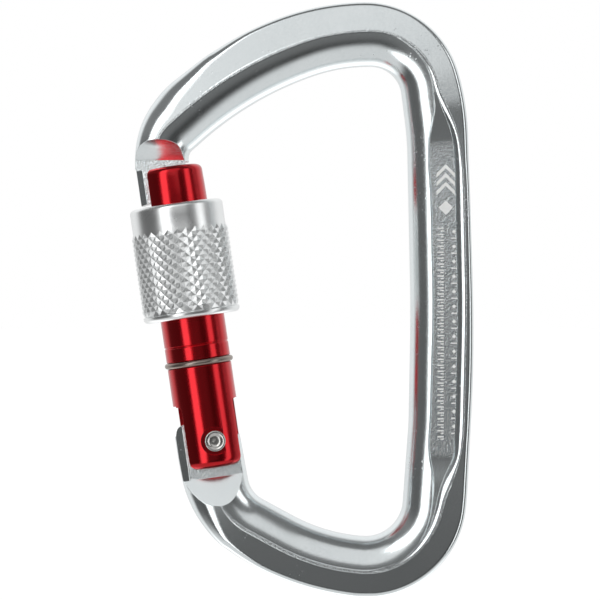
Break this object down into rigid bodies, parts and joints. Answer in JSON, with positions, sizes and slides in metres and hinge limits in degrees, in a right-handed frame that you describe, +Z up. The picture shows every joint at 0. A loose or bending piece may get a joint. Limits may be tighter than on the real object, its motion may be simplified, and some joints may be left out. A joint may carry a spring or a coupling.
{
  "type": "screw-lock carabiner",
  "caption": "D-shaped connector with a sprung gate that swings inwards on a rivet and a knurled screw sleeve that locks it.",
  "frame": {"origin": "rope seat: the middle of the underside of the crown, where the connector hangs", "axes": "+Z up the long axis, +X from the gate to the spine, +Y from the front face to the back face"},
  "size_m": [0.0667, 0.019, 0.1152],
  "materials": {
    "polished_aluminium": "tumble polished forging with fine grain",
    "red_anodised": "turned and anodised deep red, satin gloss",
    "knurled_aluminium": "turned, diamond knurled, clear anodised",
    "rivet_steel": "formed head with a punched dimple",
    "spring_steel": "drawn wire, slightly oxidised"
  },
  "bodies": {
    "frame": {"carabiner_body": "polished_aluminium"},
    "gate": {"gate": "red_anodised", "gate_rivet": "rivet_steel", "gate_spring": "spring_steel"},
    "plunger": {"spring_plunger": "spring_steel"},
    "ring": {"sleeve_stop_ring": "spring_steel"},
    "sleeve": {"screw_sleeve": "knurled_aluminium"}
  },
  "joints": [
    {"name": "gate_pivot", "type": "hinge", "parent": "frame", "child": "gate", "pos_m": [-0.02752, 0, -0.07259], "axis": [0, 1, 0], "range_deg": [0, 24], "stiffness_Nm_per_rad": 0.35, "springref_deg": -34.38},
    {"name": "plunger_slide", "type": "slide", "parent": "gate", "child": "plunger", "axis": [-0.146, 0, 0.9893], "range_m": [0, 0.0005364], "deforming": ["gate_spring"]},
    {"name": "sleeve_turn", "type": "hinge", "parent": "gate", "child": "ring", "pos_m": [-0.02866, 0, -0.07276], "axis": [-0.146, 0, 0.9893], "range_deg": [-1152, 1008]},
    {"name": "sleeve_travel", "type": "slide", "parent": "ring", "child": "sleeve", "axis": [-0.146, 0, 0.9893], "range_m": [-0.008, 0.007]}
  ],
  "couplings": [
    {"joint": "sleeve_turn", "follows": "sleeve_travel", "rad_per_m": 2513.3},
    {"joint": "plunger_slide", "follows": "gate_pivot", "m_per_rad": 0.0012806}
  ]
}
